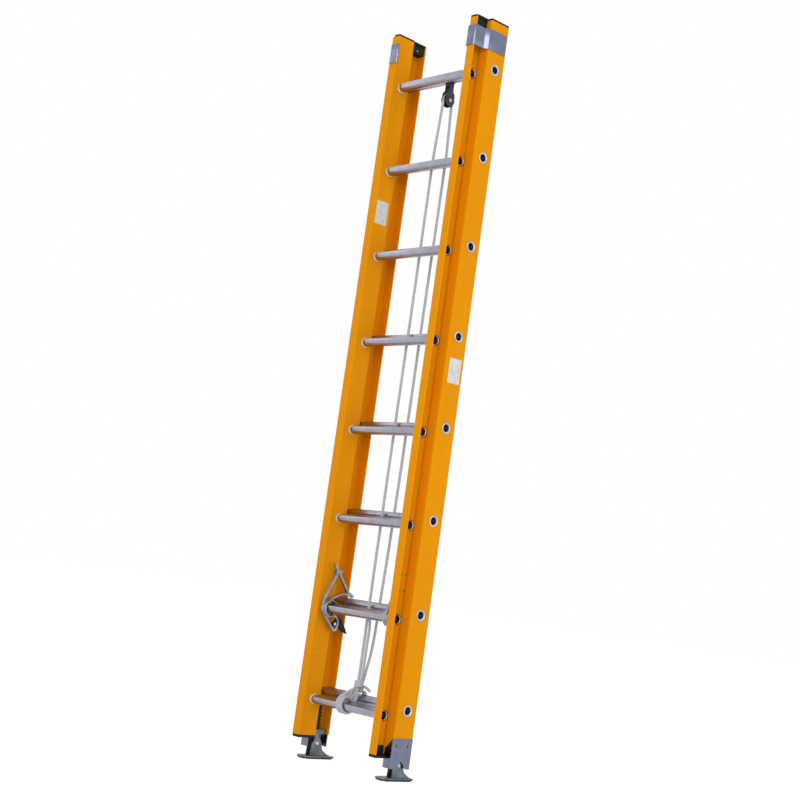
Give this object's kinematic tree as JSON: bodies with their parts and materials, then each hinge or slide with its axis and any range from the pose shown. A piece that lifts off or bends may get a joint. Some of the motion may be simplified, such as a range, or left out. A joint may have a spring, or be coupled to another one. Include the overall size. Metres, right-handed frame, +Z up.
{
  "type": "extension ladder",
  "caption": "Two-section extension ladder with orange fibreglass rails, round-ended aluminium rungs, rope and pulley, rung locks and swivel feet.",
  "frame": {"origin": "on the floor under the middle of the ladder, width and depth both centred", "axes": "+Z up the rails, -Y towards the climber with the fly section in front, +X to the right-hand rail of someone behind the camera side, that is the rail nearer the camera in a view from +X and -Y"},
  "size_m": [0.4598, 0.1712, 2.5264],
  "materials": {
    "rail": "semi-gloss orange fibreglass",
    "rung": "ribbed mill finish",
    "ring": "bright pressed",
    "black_plastic": "moulded black",
    "bracket": "plain sheet",
    "foot_metal": "dark zinc plate",
    "tread": "grooved rubber",
    "pin_steel": "zinc plate",
    "rope": "braided white nylon",
    "lock_casting": "die cast"
  },
  "bodies": {
    "base_section": {"base_rail_left": "rail", "base_rail_right": "rail", "base_rung_1": "rung", "base_rung_2": "rung", "base_rung_3": "rung", "base_rung_4": "rung", "base_rung_5": "rung", "base_rung_6": "rung", "base_rung_7": "rung", "base_rung_8": "rung", "base_rings": "ring", "base_cap_left": "black_plastic", "base_cap_right": "black_plastic", "guide_block_left": "black_plastic", "guide_block_right": "black_plastic", "guide_bracket_left": "bracket", "guide_bracket_right": "bracket", "guide_rivets": "bracket", "shoe_bracket_left": "bracket", "shoe_bracket_right": "bracket", "shoe_rivets": "bracket", "foot_yoke_left": "foot_metal", "foot_yoke_right": "foot_metal", "foot_pins": "pin_steel", "pulley_hanger": "foot_metal", "pulley_pin": "pin_steel", "rope_lift": "rope", "rope_haul": "rope", "rope_base_hitch": "rope"},
    "fly_section": {"fly_rail_left": "rail", "fly_rail_right": "rail", "fly_rung_1": "rung", "fly_rung_2": "rung", "fly_rung_3": "rung", "fly_rung_4": "rung", "fly_rung_5": "rung", "fly_rung_6": "rung", "fly_rung_7": "rung", "fly_rung_8": "rung", "fly_rings": "ring", "fly_cap_left": "black_plastic", "fly_cap_right": "black_plastic", "fly_shoe_left": "black_plastic", "fly_shoe_right": "black_plastic", "fly_rivets": "bracket", "rope_fly_knot": "rope", "lock_spring_left": "pin_steel", "lock_spring_right": "pin_steel"},
    "lock_left_arm": {"lock_left": "lock_casting", "lock_pin_left": "pin_steel"},
    "lock_right_arm": {"lock_right": "lock_casting", "lock_pin_right": "pin_steel"},
    "finger_left": {"lock_finger_left": "black_plastic"},
    "finger_right": {"lock_finger_right": "black_plastic"},
    "sheave": {"pulley_sheave": "black_plastic"},
    "foot_left": {"foot_plate_left": "foot_metal", "foot_pad_left": "tread"},
    "foot_right": {"foot_plate_right": "foot_metal", "foot_pad_right": "tread"}
  },
  "joints": [
    {"name": "fly_slide", "type": "slide", "parent": "base_section", "child": "fly_section", "axis": [0, 0, 1], "range_m": [0, 1.524], "deforming": ["rope_lift"]},
    {"name": "lock_left_swing", "type": "hinge", "parent": "fly_section", "child": "lock_left_arm", "pos_m": [-0.158, -0.0444, 0.5048], "axis": [1, 0, 0], "range_deg": [0, 42], "stiffness_Nm_per_rad": 0.2, "springref_deg": -17.19},
    {"name": "lock_right_swing", "type": "hinge", "parent": "fly_section", "child": "lock_right_arm", "pos_m": [0.158, -0.0444, 0.5048], "axis": [1, 0, 0], "range_deg": [0, 42], "stiffness_Nm_per_rad": 0.2, "springref_deg": -17.19},
    {"name": "finger_left_swing", "type": "hinge", "parent": "lock_left_arm", "child": "finger_left", "pos_m": [-0.158, -0.0164, 0.4548], "axis": [1, 0, 0], "range_deg": [0, 35]},
    {"name": "finger_right_swing", "type": "hinge", "parent": "lock_right_arm", "child": "finger_right", "pos_m": [0.158, -0.0164, 0.4548], "axis": [1, 0, 0], "range_deg": [0, 35]},
    {"name": "sheave_spin", "type": "hinge", "parent": "base_section", "child": "sheave", "pos_m": [0.014, 0.0156, 2.2816], "axis": [1, 0, 0], "continuous": true},
    {"name": "foot_left_swivel", "type": "hinge", "parent": "base_section", "child": "foot_left", "pos_m": [-0.19, 0.0156, 0.051], "axis": [1, 0, 0], "range_deg": [-40, 20]},
    {"name": "foot_right_swivel", "type": "hinge", "parent": "base_section", "child": "foot_right", "pos_m": [0.19, 0.0156, 0.051], "axis": [1, 0, 0], "range_deg": [-40, 20]}
  ],
  "couplings": [
    {"joint": "sheave_spin", "follows": "fly_slide", "rad_per_m": -51.282}
  ]
}
